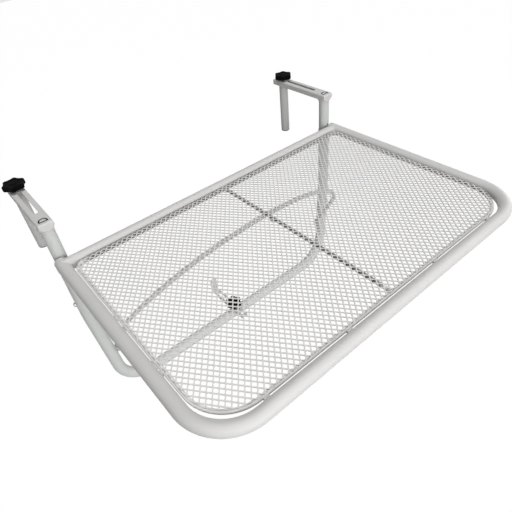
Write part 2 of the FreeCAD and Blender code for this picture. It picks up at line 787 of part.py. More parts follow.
def lower_insert():
    """Threaded insert in the top wall of the lower run."""
    start = vec(0, post_y, run_z + sleeve_r - insert_length)
    insert = cylinder(insert_d, start, Z_AXIS, insert_length)
    return insert.cut(cylinder(screw_d + 2 * screw_bore_clearance, start, Z_AXIS, insert_length))


def lower_hook():
    """Slotted channel, open below, over the lower run: its web is turned up at the rear end."""
    half = hook_width / 2
    outer_r = hook_bend_r + hook_thickness
    web_z = hook_top_z - hook_thickness
    bend_y = hook_rear_y - outer_r
    strip = box(-half, half, hook_front_y, bend_y, web_z, hook_top_z)
    flange_rear_y = hook_rear_y - hook_flange_rear_margin
    flanges = box(-half, half, hook_front_y, flange_rear_y, hook_z, web_z)
    inner = half - hook_thickness
    flanges = flanges.cut(box(-inner, inner, hook_front_y, flange_rear_y, hook_z, web_z))
    upright = box(-half, half, hook_rear_y - hook_thickness, hook_rear_y, web_z + outer_r, hook_z + hook_upturn)
    centre = vec(-half, bend_y, web_z + outer_r)
    bend = cylinder(2 * outer_r, centre, X_AXIS, hook_width)
    bend = bend.cut(cylinder(2 * hook_bend_r, centre, X_AXIS, hook_width))
    quarter = box(-half, half, bend_y, hook_rear_y, web_z, web_z + outer_r)
    shape = strip.fuse(bend.common(quarter)).fuse(upright).removeSplitter()
    corners = []
    for edge in shape.Edges:
        bounds = edge.BoundBox
        at_front = bounds.YMax < hook_front_y + 0.1 and bounds.ZLength > 1
        at_top = bounds.ZMin > hook_z + hook_upturn - 0.1 and bounds.YLength > 1
        if at_front or at_top:
            corners.append(edge)
    shape = shape.makeFillet(hook_corner_r, corners).fuse(flanges.common(rounded_front(half)))
    slot_front = hook_front_y + hook_slot_end_margin
    slot_rear = hook_rear_y - hook_slot_rear_margin
    return shape.cut(slot_tool(0, slot_front, slot_rear, hook_z - 1, hook_top_z + 1))


def rounded_front(half):
    """Room below the web of the lower hook, rounded at the front like the web."""
    bar = box(-half, half, hook_front_y, hook_rear_y, hook_z, hook_top_z)
    corners = []
    for edge in bar.Edges:
        bounds = edge.BoundBox
        if bounds.YMax < hook_front_y + 0.1 and bounds.ZLength > 1:
            corners.append(edge)
    return bar.makeFillet(hook_corner_r, corners)


write("table_frame_tube", frame_tube())
write("rear_cross_tube", rear_tube())
write("border_rod", border_rod())
write("mid_rod", mid_rod())
write("mesh_panel", mesh_panel())
write("weld_tabs", weld_tabs())
write("catch_tab", catch_tab())
write("u_frame_tube", u_frame_tube())
write("hinge_pins", hinge_pins())
write("hinge_nuts", hinge_nuts())
write("sleeve_bolts", sleeve_bolts())
write("sleeve_nuts", sleeve_nuts())
write("bail_bolts", bail_bolts())
write("bail_washers", bail_washers())
write("prop_bail", prop_bail())
for side, word in ((-1, "left"), (1, "right")):
    write(word + "_frame_plug", frame_plug(side))
    write(word + "_hinge_ear", hinge_ear(side))
    write(word + "_post", post(side))
    write(word + "_arm", arm(side))
    write(word + "_peg_tube", peg_tube(side))
    write(word + "_peg_insert", peg_insert(side))
    write(word + "_peg_foot", peg_foot(side))
    write(word + "_knob", knob(side * post_x, peg_y, arm_knob_z, knob_turns[word]))
    write(word + "_knob_screw", knob_screw(side * post_x, peg_y, arm_knob_z, screw_length))
    write(word + "_knob_washer", washer(side * post_x, peg_y, arm_height + slide_gap))
write("lower_insert", lower_insert())
write("lower_hook", lower_hook())
write("lower_knob", knob(0, post_y, lower_knob_z, knob_turns["lower"]))
write("lower_knob_screw", knob_screw(0, post_y, lower_knob_z, lower_screw_length))
write("lower_knob_washer", washer(0, post_y, hook_top_z + slide_gap))
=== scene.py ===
import math

import bmesh
import bpy
from mathutils import Matrix, Vector


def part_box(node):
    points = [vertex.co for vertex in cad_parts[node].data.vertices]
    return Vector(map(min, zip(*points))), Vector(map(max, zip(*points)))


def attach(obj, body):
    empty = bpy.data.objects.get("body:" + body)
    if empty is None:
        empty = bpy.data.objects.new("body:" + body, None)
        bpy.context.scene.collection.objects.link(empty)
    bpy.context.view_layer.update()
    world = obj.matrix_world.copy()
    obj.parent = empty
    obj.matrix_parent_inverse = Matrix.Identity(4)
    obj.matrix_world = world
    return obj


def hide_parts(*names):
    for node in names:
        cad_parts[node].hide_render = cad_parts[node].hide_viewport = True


bl_info = {
    "name": "Balcony railing bar table",
    "version": (1, 0, 0),
    "blender": (4, 5, 0),
    "location": "3D View > Sidebar > Railing table",
    "description": "Dresses the folding railing table: mesh, painted tubes, knobs, fasteners and studio",
    "category": "Object",
}

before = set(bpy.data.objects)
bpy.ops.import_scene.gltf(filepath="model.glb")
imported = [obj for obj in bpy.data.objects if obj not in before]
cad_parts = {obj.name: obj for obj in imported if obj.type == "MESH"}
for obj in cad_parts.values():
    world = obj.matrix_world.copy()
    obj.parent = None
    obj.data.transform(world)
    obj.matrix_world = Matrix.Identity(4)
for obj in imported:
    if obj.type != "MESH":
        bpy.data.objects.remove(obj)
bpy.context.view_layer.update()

# The photograph is 512 pixels square. The camera stands in front of the table, left of it and above it.
CAMERA_PLACE = Vector((-0.36257, -0.67147, 0.36621))
CAMERA_RIGHT = Vector((0.762837, -0.640626, -0.08763))
CAMERA_DOWN = Vector((-0.472857, -0.460286, -0.751361))
CAMERA_AHEAD = Vector((0.441006, 0.614602, -0.654048))
CAMERA_LENS = 32.0
SENSOR_WIDTH = 36.0
FLOOR_REACH = 8.0
LAMP_SIZE = 1.8
LAMP_AIM = Vector((0, -0.25, -0.1))

# The two sides, each with the sign of X on it
SIDES = {"left": -1, "right": 1}


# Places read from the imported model

def middle(node):
    low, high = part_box(node)
    return (low + high) / 2


def size(node):
    low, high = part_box(node)
    return high - low


TUBE_LOW, TUBE_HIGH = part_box("table_frame_tube")
TUBE_R = (TUBE_HIGH.z - TUBE_LOW.z) / 2
TUBE_Z = (TUBE_HIGH.z + TUBE_LOW.z) / 2
SIDE_X = TUBE_HIGH.x - TUBE_R
REAR_Y = middle("rear_cross_tube").y
POST = middle("right_post")
POST_R = size("right_post").x / 2
SLEEVE_OVER_POST = 0.001
SLEEVE_R = POST_R + SLEEVE_OVER_POST

# Sizes in metres that the solids have, but that their boxes don't give
BORDER_FRONT_CORNER = 0.057
BORDER_REAR_CORNER = 0.014
TENON_WIDTH = 0.0106
TENON_DEPTH = 0.007
KNOB_R = 0.018
KNOB_RIM = 0.0016
KNOB_NECK_FLATS = 0.012
KNOB_NECK_HEIGHT = 0.002
SLEEVE_NUT = 0.0032
EAR_GAP = 0.0005
EAR_THICKNESS = 0.003
HINGE_NUT = 0.005
PIN_STICK_OUT = 0.001
BAIL_WASHER = 0.0008
BAIL_WASHER_GAP = 0.00035
EYE_THICKNESS = 0.004
SLIDE_GAP = 0.0003


# Settings that a user would change

class MeshSheetSettings(bpy.types.PropertyGroup):
    """Sizes of the diamond mesh."""
    pitch_across: bpy.props.FloatProperty(
        name="Pitch across", description="Distance between diamonds along the width",
        default=0.00875, min=0.004, unit="LENGTH")
    pitch_along: bpy.props.FloatProperty(
        name="Pitch along", description="Distance between diamonds from front to rear",
        default=0.0111, min=0.004, unit="LENGTH")
    strand: bpy.props.FloatProperty(
        name="Strand", description="Width of a strand of the mesh",
        default=0.00142, min=0.0005, unit="LENGTH")
    thickness: bpy.props.FloatProperty(
        name="Thickness", description="Thickness of the sheet",
        default=0.0013, min=0.0003, unit="LENGTH")
    lean: bpy.props.FloatProperty(
        name="Lean", description="Shift of each strand's underside by the stretching of the sheet",
        default=0.0003, unit="LENGTH")


class PaintSettings(bpy.types.PropertyGroup):
    """Colours of the coats and mouldings."""
    frame_colour: bpy.props.FloatVectorProperty(
        name="Table coat", description="Powder coat of the table top",
        default=(0.66, 0.655, 0.645), size=3, min=0.0, max=1.0, subtype="COLOR")
    mesh_colour: bpy.props.FloatVectorProperty(
        name="Mesh coat", description="Powder coat of the mesh",
        default=(0.76, 0.75, 0.74), size=3, min=0.0, max=1.0, subtype="COLOR")
    # Lighter than the table's coat, as painted light on the front and left rods, which the front tube shades
    # from the front lamp.
    rod_colour: bpy.props.FloatVectorProperty(
        name="Rod coat", description="Powder coat of the rods under the mesh",
        default=(0.9, 0.89, 0.88), size=3, min=0.0, max=1.0, subtype="COLOR")
    post_colour: bpy.props.FloatVectorProperty(
        name="Hanger coat", description="Powder coat of the posts and the lower frame",
        default=(0.655, 0.675, 0.655), size=3, min=0.0, max=1.0, subtype="COLOR")
    knob_colour: bpy.props.FloatVectorProperty(
        name="Knobs", description="Black plastic of the knobs",
        default=(0.0035, 0.0035, 0.004), size=3, min=0.0, max=1.0, subtype="COLOR")
    foot_colour: bpy.props.FloatVectorProperty(
        name="Peg feet", description="Dark plastic of the peg feet",
        default=(0.022, 0.022, 0.021), size=3, min=0.0, max=1.0, subtype="COLOR")
    zinc_colour: bpy.props.FloatVectorProperty(
        name="Fasteners", description="Zinc plate of bolts, nuts and washers",
        default=(0.42, 0.42, 0.41), size=3, min=0.0, max=1.0, subtype="COLOR")


class KnobSettings(bpy.types.PropertyGroup):
    """Shape of the knobs."""
    lobes: bpy.props.IntProperty(
        name="Lobes", description="Lobes round a knob", default=6, min=3)
    hollow_depth: bpy.props.FloatProperty(
        name="Hollow depth", description="Depth of the hollows between the lobes",
        default=0.0029, min=0.0, unit="LENGTH")
    hollow_radius: bpy.props.FloatProperty(
        name="Hollow radius", description="Radius of the hollows between the lobes",
        default=0.02, min=0.005, unit="LENGTH")
    left_turn: bpy.props.FloatProperty(
        name="Left turn", description="Angle of the left knob",
        default=math.radians(7.0), unit="ROTATION")
    right_turn: bpy.props.FloatProperty(
        name="Right turn", description="Angle of the right knob",
        default=math.radians(-12.0), unit="ROTATION")
    lower_turn: bpy.props.FloatProperty(
        name="Lower turn", description="Angle of the lower knob", default=0.0, unit="ROTATION")


class StudioSettings(bpy.types.PropertyGroup):
    """Light of the studio."""
    front_power: bpy.props.FloatProperty(
        name="Front power", description="Power of the low lamp in front of the table",
        default=51.5, unit="POWER")
    left_power: bpy.props.FloatProperty(
        name="Left power", description="Power of the lamp at the front left", default=15.5, unit="POWER")
    right_power: bpy.props.FloatProperty(
        name="Right power", description="Power of the lamp on the right", default=21.5, unit="POWER")
    top_power: bpy.props.FloatProperty(
        name="Top power", description="Power of the lamp overhead", default=48.0, unit="POWER")
    fill: bpy.props.FloatProperty(
        name="Fill", description="Strength of the light from all sides", default=0.03, min=0.0)
    floor_drop: bpy.props.FloatProperty(
        name="Floor", description="Depth of the balcony floor below the handrail",
        default=0.95, unit="LENGTH")


# Mesh helpers

def in_scene(name, data):
    """A new object that is linked to the scene."""
    thing = bpy.data.objects.new(name, data)
    bpy.context.scene.collection.objects.link(thing)
    return thing


def finished(name, mesh_data, body, key, replaced=()):
    """Puts a finished mesh on its body, with its slot's material, in place of the solids it stands for."""
    piece = in_scene(name, mesh_data)
    mesh_data.materials.clear()
    mesh_data.materials.append(paint(key))
    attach(piece, body)
    if replaced:
        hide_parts(*replaced)


def put_on(node, material):
    """Gives a kept solid a material."""
    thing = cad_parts[node]
    thing.data.materials.clear()
    thing.data.materials.append(material)


def plain_mesh(bm, name):
    """The mesh of bmesh data, which is then freed."""
    made = bpy.data.meshes.new(name)
    bm.to_mesh(made)
    bm.free()
    return made


def shaded_smooth(made, sharp_angle=None):
    """Shades a mesh smooth. With an angle in degrees, edges sharper than it stay sharp."""
    made.polygons.foreach_set("use_smooth", [True] * len(made.polygons))
    if sharp_angle is not None:
        made.set_sharp_from_angle(angle=math.radians(sharp_angle))
    return made


def outward_mesh(bm, name):
    """The mesh of bmesh data, with its normals outwards."""
    bmesh.ops.recalc_face_normals(bm, faces=bm.faces)
    return plain_mesh(bm, name)


def baked(thing):
    """The evaluated mesh of an object, which is then removed with its modifiers."""
    graph = bpy.context.evaluated_depsgraph_get()
    made = bpy.data.meshes.new_from_object(thing.evaluated_get(graph), depsgraph=graph)
    bpy.data.objects.remove(thing, do_unlink=True)
    return made


def softened(node, width):
    """A copy of a solid whose sharp edges are rounded, as bent or blanked sheet metal has them."""
    bm = bmesh.new()
    bm.from_mesh(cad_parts[node].data)
    bmesh.ops.remove_doubles(bm, verts=bm.verts, dist=1e-6)
    bmesh.ops.dissolve_limit(bm, angle_limit=math.radians(1.0), verts=bm.verts, edges=bm.edges)
    made = plain_mesh(bm, node + "_copy")
    made.validate()
    thing = in_scene(node + "_copy", made)
    bevel = thing.modifiers.new("Rounded edges", "BEVEL")
    bevel.width = width
    bevel.segments = 2
    bevel.limit_method = "ANGLE"
    bevel.angle_limit = math.radians(35.0)
    return shaded_smooth(baked(thing), 40.0)


def moved(bm, centre, turn=0.0):
    """Turns all vertices about Z and moves them level to a centre."""
    matrix = Matrix.Translation((centre.x, centre.y, 0)) @ Matrix.Rotation(turn, 4, "Z")
    bmesh.ops.transform(bm, matrix=matrix, verts=bm.verts)


def on_circle(radius, angle, height=0.0):
    return radius * math.cos(angle), radius * math.sin(angle), height


def quarter(steps, first=0):
    """The sine and cosine at even steps over a quarter turn, from a first step on."""
    angles = [math.pi / 2 * step / steps for step in range(first, steps + 1)]
    return [(math.sin(angle), math.cos(angle)) for angle in angles]


def lathe(bm, profile, segments):
    """A closed solid turned about Z from (radius, height) pairs, first and last on the axis."""
    rings = []
    for radius, height in profile:
        if radius < 1e-7:
            rings.append([bm.verts.new((0, 0, height))])
            continue
        turns = [2 * math.pi * i / segments for i in range(segments)]
        rings.append([bm.verts.new(on_circle(radius, angle, height)) for angle in turns])
    for low, high in zip(rings, rings[1:]):
        for i in range(segments):
            j = (i + 1) % segments
            corners = []
            for corner in (low[i % len(low)], low[j % len(low)], high[j % len(high)], high[i % len(high)]):
                if corner not in corners:
                    corners.append(corner)
            bm.faces.new(corners)


def skin(bm, rings):
    """Faces between closed rings that have equally many vertices."""
    for lower, upper in zip(rings, rings[1:]):
        for i in range(len(lower)):
            j = (i + 1) % len(lower)
            bm.faces.new((lower[i], lower[j], upper[j], upper[i]))


# Node helpers

class NodeSketch:
    """A node tree that is built a node at a time."""

    def __init__(self, tree):
        self.tree = tree

    def feed(self, socket, value):
        if isinstance(value, bpy.types.NodeSocket):
            self.tree.links.new(value, socket)
        else:
            socket.default_value = value

    def node(self, kind, settings=(), **inputs):
        """A new node. Its inputs are named with underscores for spaces, or numbered as in_0."""
        made = self.tree.nodes.new(kind)
        for key, value in dict(settings).items():
            setattr(made, key, value)
        for key, value in inputs.items():
            if key.startswith("in_"):
                self.feed(made.inputs[int(key[3:])], value)
            else:
                self.feed(made.inputs[key.replace("_", " ")], value)
        return made

    def sum(self, operation, first, second=0.0):
        return self.node("ShaderNodeMath", {"operation": operation}, in_0=first, in_1=second).outputs[0]


class GroupSketch(NodeSketch):
    """A node group with named inputs, each with its kind and default, and named outputs."""

    def __init__(self, tree_kind, name, inputs, outputs):
        super().__init__(bpy.data.node_groups.new(name, tree_kind))
        face = self.tree.interface
        for label, kind in outputs:
            face.new_socket(label, in_out="OUTPUT", socket_type="NodeSocket" + kind)
        for label, kind, default in inputs:
            socket = face.new_socket(label, in_out="INPUT", socket_type="NodeSocket" + kind)
            if default is not None:
                socket.default_value = default
        self.entry = self.node("NodeGroupInput")
        self.exit = self.node("NodeGroupOutput")

    def given(self, label):
        return self.entry.outputs[label]


class GeometrySketch(GroupSketch):
    """A geometry node tree, which takes and gives geometry."""

    def __init__(self, name, inputs):
        geometry = ("Geometry", "Geometry")
        super().__init__("GeometryNodeTree", name, [(*geometry, None), *inputs], [geometry])

    def compare(self, operation, first, second):
        settings = {"data_type": "FLOAT", "operation": operation}
        return self.node("FunctionNodeCompare", settings, in_0=first, in_1=second).outputs[0]

    def choose(self, wanted, no, yes):
        settings = {"input_type": "FLOAT"}
        return self.node("GeometryNodeSwitch", settings, in_0=wanted, in_1=no, in_2=yes).outputs[0]

    def join(self, *shapes):
        node = self.node("GeometryNodeJoinGeometry")
        for shape in shapes:
            self.tree.links.new(shape, node.inputs[0])
        return node.outputs[0]

    def finish(self, shape):
        real = self.node("GeometryNodeRealizeInstances", Geometry=shape).outputs[0]
        painted = self.node("GeometryNodeSetMaterial", Geometry=real, Material=self.given("Material"))
        self.feed(self.exit.inputs[0], painted.outputs[0])
        return self.tree


def run_tree(tree, start, values):
    """The plain mesh that a tree makes from a start mesh or curve, with its inputs set by identifier."""
    thing = in_scene(tree.name, start)
    modifier = thing.modifiers.new(tree.name, "NODES")
    modifier.node_group = tree
    for item in tree.interface.items_tree:
        if item.item_type == "SOCKET" and item.in_out == "INPUT" and item.name in values:
            modifier[item.identifier] = values[item.name]
    return baked(thing)


def outline_reach(sketch, position):
    """How far a point lies past the straight part of the rounded outline, and the corner radius there."""
    parts = sketch.node("ShaderNodeSeparateXYZ", Vector=position)
    x, y = parts.outputs[0], parts.outputs[1]
    in_front = sketch.compare("LESS_THAN", y, 0.0)
    radius = sketch.choose(in_front, sketch.given("Rear corner"), sketch.given("Front corner"))
    past = []
    for value, half in ((x, "Half width"), (y, "Half depth")):
        straight = sketch.sum("SUBTRACT", sketch.given(half), radius)
        outside = sketch.sum("SUBTRACT", sketch.sum("ABSOLUTE", value), straight)
        past.append(sketch.sum("MAXIMUM", outside, 0.0))
    squares = [sketch.sum("MULTIPLY", over, over) for over in past]
    return x, y, past, sketch.sum("SQRT", sketch.sum("ADD", *squares)), radius


def diamond_tree():
    """Diamond cells on a staggered lattice, cut off at a rounded outline and given the sheet's thickness."""
    same_place, crushed, underside = 0.00001, 0.00015, 0.0002
    share_past_outline = 0.4
    sketch = GeometrySketch("Diamond mesh", [
        ("Cell", "Object", None),
        ("Half width", "Float", 0.27),
        ("Half depth", "Float", 0.17),
        ("Front corner", "Float", 0.05),
        ("Rear corner", "Float", 0.01),
        ("Pitch across", "Float", 0.01),
        ("Pitch along", "Float", 0.01),
        ("Thickness", "Float", 0.001),
        ("Lean", "Float", 0.0),
        ("Material", "Material", None),
    ])
    counts = []
    for half, pitch in (("Half width", "Pitch across"), ("Half depth", "Pitch along")):
        steps = sketch.sum("CEIL", sketch.sum("DIVIDE", sketch.given(half), sketch.given(pitch)))
        counts.append(sketch.sum("ADD", sketch.sum("MULTIPLY", steps, 2.0), 1.0))
    lattices = []
    for extra in (0.0, 1.0):
        grid_sizes = []
        grid_counts = []
        for count, pitch in zip(counts, ("Pitch across", "Pitch along")):
            grid_counts.append(sketch.sum("ADD", count, extra))
            gaps = sketch.sum("SUBTRACT", grid_counts[-1], 1.0)
            grid_sizes.append(sketch.sum("MULTIPLY", gaps, sketch.given(pitch)))
        grid = sketch.node(
            "GeometryNodeMeshGrid", Size_X=grid_sizes[0], Size_Y=grid_sizes[1],
            Vertices_X=grid_counts[0], Vertices_Y=grid_counts[1])
        lattices.append(grid.outputs[0])
    points = sketch.node("GeometryNodeMeshToPoints", Mesh=sketch.join(*lattices)).outputs[0]
    place = sketch.node("GeometryNodeInputPosition").outputs[0]
    _, _, _, length, radius = outline_reach(sketch, place)
    margin = sketch.sum("MULTIPLY", sketch.given("Pitch across"), share_past_outline)
    outside = sketch.compare("GREATER_THAN", length, sketch.sum("ADD", radius, margin))
    kept = sketch.node("GeometryNodeDeleteGeometry", {"domain": "POINT"},
                       Geometry=points, Selection=outside).outputs[0]
    cell = sketch.node("GeometryNodeObjectInfo", Object=sketch.given("Cell")).outputs["Geometry"]
    cells = sketch.node("GeometryNodeInstanceOnPoints", Points=kept, Instance=cell).outputs[0]
    flat = sketch.node("GeometryNodeRealizeInstances", Geometry=cells).outputs[0]
    flat = sketch.node("GeometryNodeMergeByDistance", Geometry=flat, Distance=same_place).outputs[0]
    x, y, past, length, radius = outline_reach(sketch, place)
    share = sketch.sum("DIVIDE", radius, sketch.sum("MAXIMUM", radius, length))
    lost = sketch.sum("SUBTRACT", share, 1.0)
    moves = []
    for value, over in ((x, past[0]), (y, past[1])):
        inward = sketch.sum("MULTIPLY", over, lost)
        moves.append(sketch.sum("MULTIPLY", sketch.sum("SIGN", value), inward))
    offset = sketch.node("ShaderNodeCombineXYZ", X=moves[0], Y=moves[1]).outputs[0]
    flat = sketch.node("GeometryNodeSetPosition", Geometry=flat, Offset=offset).outputs[0]
    flat = sketch.node("GeometryNodeMergeByDistance", Geometry=flat, Distance=crushed).outputs[0]
    rise = sketch.node("ShaderNodeCombineXYZ", Z=sketch.given("Thickness")).outputs[0]
    upper = sketch.node("GeometryNodeExtrudeMesh", {"mode": "FACES"},
                        Mesh=flat, Offset=rise, Offset_Scale=1.0, Individual=False).outputs[0]
    lower = sketch.node("GeometryNodeFlipFaces", Mesh=flat).outputs[0]
    sheet = sketch.node("GeometryNodeMergeByDistance", Geometry=sketch.join(upper, lower),
                        Distance=same_place).outputs[0]
    height = sketch.node("ShaderNodeSeparateXYZ", Vector=place).outputs[2]
    below = sketch.compare("LESS_THAN", height, underside)
    shift = sketch.node("ShaderNodeCombineXYZ", Y=sketch.given("Lean")).outputs[0]
    sheet = sketch.node("GeometryNodeSetPosition", Geometry=sheet, Selection=below, Offset=shift)
    return sketch.finish(sheet.outputs[0])


def on_points_tree():
    """One shape on each point, with its Z axis turned to the point's own direction."""
    sketch = GeometrySketch("Fastener on points", [
        ("Shape", "Object", None),
        ("Material", "Material", None),
    ])
    facing = sketch.node("GeometryNodeInputNamedAttribute", {"data_type": "FLOAT_VECTOR"}, Name="facing")
    turn = sketch.node("FunctionNodeAlignRotationToVector", {"axis": "Z"}, Vector=facing.outputs[0])
    points = sketch.node("GeometryNodeMeshToPoints", Mesh=sketch.given("Geometry")).outputs[0]
    shape = sketch.node("GeometryNodeObjectInfo", Object=sketch.given("Shape")).outputs["Geometry"]
    copies = sketch.node("GeometryNodeInstanceOnPoints", Points=points, Instance=shape,
                         Rotation=turn.outputs[0])
    return sketch.finish(copies.outputs[0])


def weld_tree():
    """Overlapping drops along a path, each a little larger or smaller, as a weld seam has them."""
    sketch = GeometrySketch("Weld seam", [
        ("Spacing", "Float", 0.0012),
        ("Drop", "Float", 0.0016),
        ("Material", "Material", None),
    ])
    path = sketch.node("GeometryNodeMeshToCurve", Mesh=sketch.given("Geometry")).outputs[0]
    path = sketch.node("GeometryNodeResampleCurve", {"mode": "LENGTH"},
                       Curve=path, Length=sketch.given("Spacing")).outputs[0]
    index = sketch.node("GeometryNodeInputIndex").outputs[0]
    size_now = sketch.node(
        "FunctionNodeRandomValue", {"data_type": "FLOAT"}, in_2=0.85, in_3=1.15, ID=index, Seed=7).outputs[1]
    drop = sketch.node("GeometryNodeMeshUVSphere", Segments=8, Rings=5, Radius=sketch.given("Drop"))
    copies = sketch.node("GeometryNodeInstanceOnPoints", Points=path, Instance=drop.outputs[0],
                         Scale=size_now)
    return sketch.finish(copies.outputs[0])


# Materials

def coat_grain_group():
    """Fine ripple of a sprayed coat, with slow changes of tone and gloss."""
    inputs = [("Ripple scale", "Float", 900.0), ("Cloud scale", "Float", 9.0)]
    outputs = [("Height", "Float"), ("Tone", "Float"), ("Gloss", "Float")]
    sketch = GroupSketch("ShaderNodeTree", "Coat grain", inputs, outputs)
    where = sketch.node("ShaderNodeTexCoord").outputs["Object"]
    for label, scale, detail, distortion, out in (
            ("Ripple", "Ripple scale", 2.0, 0.0, "Height"),
            ("Cloud", "Cloud scale", 3.0, 0.0, "Tone"),
            ("Sheen", "Cloud scale", 6.0, 0.3, "Gloss")):
        noise = sketch.node("ShaderNodeTexNoise", {"label": label}, Vector=where, Scale=sketch.given(scale),
                            Detail=detail, Distortion=distortion)
        sketch.feed(sketch.exit.inputs[out], noise.outputs["Fac"])
    return sketch.tree


def handling_group():
    """Sparse small scuffs and specks, as a thing that is handled and stored has them."""
    inputs = [("Speck scale", "Float", 160.0), ("Amount", "Float", 0.3)]
    sketch = GroupSketch("ShaderNodeTree", "Handling marks", inputs, [("Mask", "Float")])
    where = sketch.node("ShaderNodeTexCoord").outputs["Object"]
    specks = sketch.node("ShaderNodeTexVoronoi", Vector=where, Scale=sketch.given("Speck scale"))
    patches = sketch.node("ShaderNodeTexNoise", Vector=where, Scale=22.0)
    near = sketch.node("ShaderNodeMapRange", Value=specks.outputs["Distance"], From_Min=0.16, From_Max=0.05)
    some = sketch.node("ShaderNodeMapRange", Value=patches.outputs["Fac"], From_Min=0.56, From_Max=0.68)
    both = sketch.sum("MULTIPLY", near.outputs["Result"], some.outputs["Result"])
    sketch.feed(sketch.exit.inputs["Mask"], sketch.sum("MULTIPLY", both, sketch.given("Amount")))
    return sketch.tree


def surface(name, colour, roughness, variation=0.04, bump=0.06, grain=(900.0, 9.0), marks=(160.0, 0.25),
            mark_shade=0.75, metallic=0.0, ior=1.5):
    """A material whose colour, roughness and relief come from the grain and handling groups."""
    made = bpy.data.materials.new(name)
    made.use_nodes = True
    sketch = NodeSketch(made.node_tree)
    sockets = made.node_tree.nodes["Principled BSDF"].inputs
    gloss_range = 0.08
    relief_height = 0.0004
    shades = (1 - variation, 1 + variation, mark_shade)
    darker, lighter, marked = [(*[min(1.0, part * shade) for part in colour], 1.0) for shade in shades]
    coat_grain = sketch.node(
        "ShaderNodeGroup", {"node_tree": bpy.data.node_groups.get("Coat grain") or coat_grain_group()},
        Ripple_scale=grain[0], Cloud_scale=grain[1])
    handling = sketch.node(
        "ShaderNodeGroup", {"node_tree": bpy.data.node_groups.get("Handling marks") or handling_group()},
        Speck_scale=marks[0], Amount=marks[1])
    tone = sketch.node("ShaderNodeMix", {"data_type": "RGBA"},
                       in_0=coat_grain.outputs["Tone"], in_6=darker, in_7=lighter)
    worn = sketch.node("ShaderNodeMix", {"data_type": "RGBA"},
                       in_0=handling.outputs["Mask"], in_6=tone.outputs[2], in_7=marked)
    gloss = sketch.node("ShaderNodeMapRange", Value=coat_grain.outputs["Gloss"],
                        To_Min=roughness - gloss_range, To_Max=roughness + gloss_range)
    relief = sketch.node("ShaderNodeBump", Strength=bump, Distance=relief_height,
                         Height=coat_grain.outputs["Height"])
    for label, value in (
            ("Metallic", metallic), ("IOR", ior), ("Base Color", worn.outputs[2]),
            ("Roughness", gloss.outputs["Result"]), ("Normal", relief.outputs["Normal"])):
        sketch.feed(sockets[label], value)
    return made


# For each of the record's slots: its material's name, its colour setting, its roughness and other values
COATS = {
    "frame_paint": ("Table powder coat", "frame_colour", 0.5, dict(ior=1.33)),
    "post_paint": ("Hanger powder coat", "post_colour", 0.5, dict(ior=1.33)),
    "mesh_paint": ("Mesh powder coat", "mesh_colour", 0.5, dict(
        bump=0.1, grain=(1500.0, 14.0), marks=(300.0, 0.2))),
    "knob_plastic": ("Black knob plastic", "knob_colour", 0.55, dict(
        variation=0.2, bump=0.25, grain=(2400.0, 30.0), marks=(240.0, 0.5), mark_shade=3.0, ior=1.08)),
    "foot_plastic": ("Dark foot plastic", "foot_colour", 0.55, dict(
        variation=0.15, bump=0.2, grain=(1800.0, 30.0), marks=(200.0, 0.4), mark_shade=2.0, ior=1.15)),
    "plug_plastic": ("White plug plastic", "frame_colour", 0.55, dict(bump=0.08, grain=(1300.0, 20.0))),
    "zinc_steel": ("Zinc plate", "zinc_colour", 0.36, dict(
        variation=0.15, bump=0.15, grain=(1200.0, 60.0), marks=(420.0, 0.5), mark_shade=0.5, metallic=1.0)),
}


def paint(key):
    """The material for one of the record's slots, made once."""
    name, colour, roughness, others = COATS[key]
    found = bpy.data.materials.get(name)
    if found:
        return found
    return surface(name, getattr(bpy.context.scene.railing_table_paint, colour), roughness, **others)


def rod_paint():
    """The rods' coat: painted shade under the mesh, darkened to match the photograph, apart from a strip
    along the front and the left in the lighter coat, which is painted light.
    """
    found = bpy.data.materials.get("Rod powder coat")
    if found:
        return found
    made = surface("Rod powder coat", bpy.context.scene.railing_table_paint.rod_colour, 0.5)
    sketch = NodeSketch(made.node_tree)
    base = made.node_tree.nodes["Principled BSDF"].inputs["Base Color"]
    plain = base.links[0].from_socket
    parts = sketch.node("ShaderNodeSeparateXYZ", Vector=sketch.node("ShaderNodeTexCoord").outputs["Object"])
    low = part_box("border_rod")[0]
    # Painted shade: the coat is multiplied by this dark grey where the mesh shades the rods, away from the
    # front and left strips.
    dark_tone = (0.2, 0.2, 0.2, 1.0)
    fade_start, fade_end = 0.01, 0.03
    shares = []
    for axis, edge in ((0, low.x), (1, low.y)):
        share = sketch.node("ShaderNodeMapRange", {"interpolation_type": "SMOOTHSTEP"},
                            Value=parts.outputs[axis], From_Min=edge + fade_start, From_Max=edge + fade_end)
        shares.append(share.outputs["Result"])
    painted_shade = sketch.node("ShaderNodeMix", {"data_type": "RGBA", "blend_type": "MULTIPLY"},
                       in_0=sketch.sum("MULTIPLY", *shares), in_6=plain, in_7=dark_tone)
    sketch.feed(base, painted_shade.outputs[2])
    return made


# Shapes of this table's own pieces

def diamond_cell(settings):
    """A flat diamond frame whose outer edges meet those of its neighbours. The hole has blunt corners."""
    across, along, strand = settings.pitch_across / 2, settings.pitch_along / 2, settings.strand
    slope = math.hypot(1, across / along)
    hole_x = across - strand / 2 * slope
    hole_y = hole_x * along / across
    blunt = 0.80
    part = (1 - blunt) * hole_x
    bm = bmesh.new()
    outer = [bm.verts.new(p) for p in (
        (across, 0, 0), (0, along, 0), (-across, 0, 0), (0, -along, 0))]
    inner = [bm.verts.new(p) for p in (
        (hole_x, 0, 0), (part, blunt * hole_y, 0), (-part, blunt * hole_y, 0),
        (-hole_x, 0, 0), (-part, -blunt * hole_y, 0), (part, -blunt * hole_y, 0))]
    for corners in (
            (outer[0], outer[1], inner[1], inner[0]), (outer[1], inner[2], inner[1]),
            (outer[1], outer[2], inner[3], inner[2]), (outer[2], outer[3], inner[4], inner[3]),
            (outer[3], inner[5], inner[4]), (outer[3], outer[0], inner[0], inner[5])):
        bm.faces.new(corners)
    return in_scene("Diamond cell", plain_mesh(bm, "Diamond cell"))


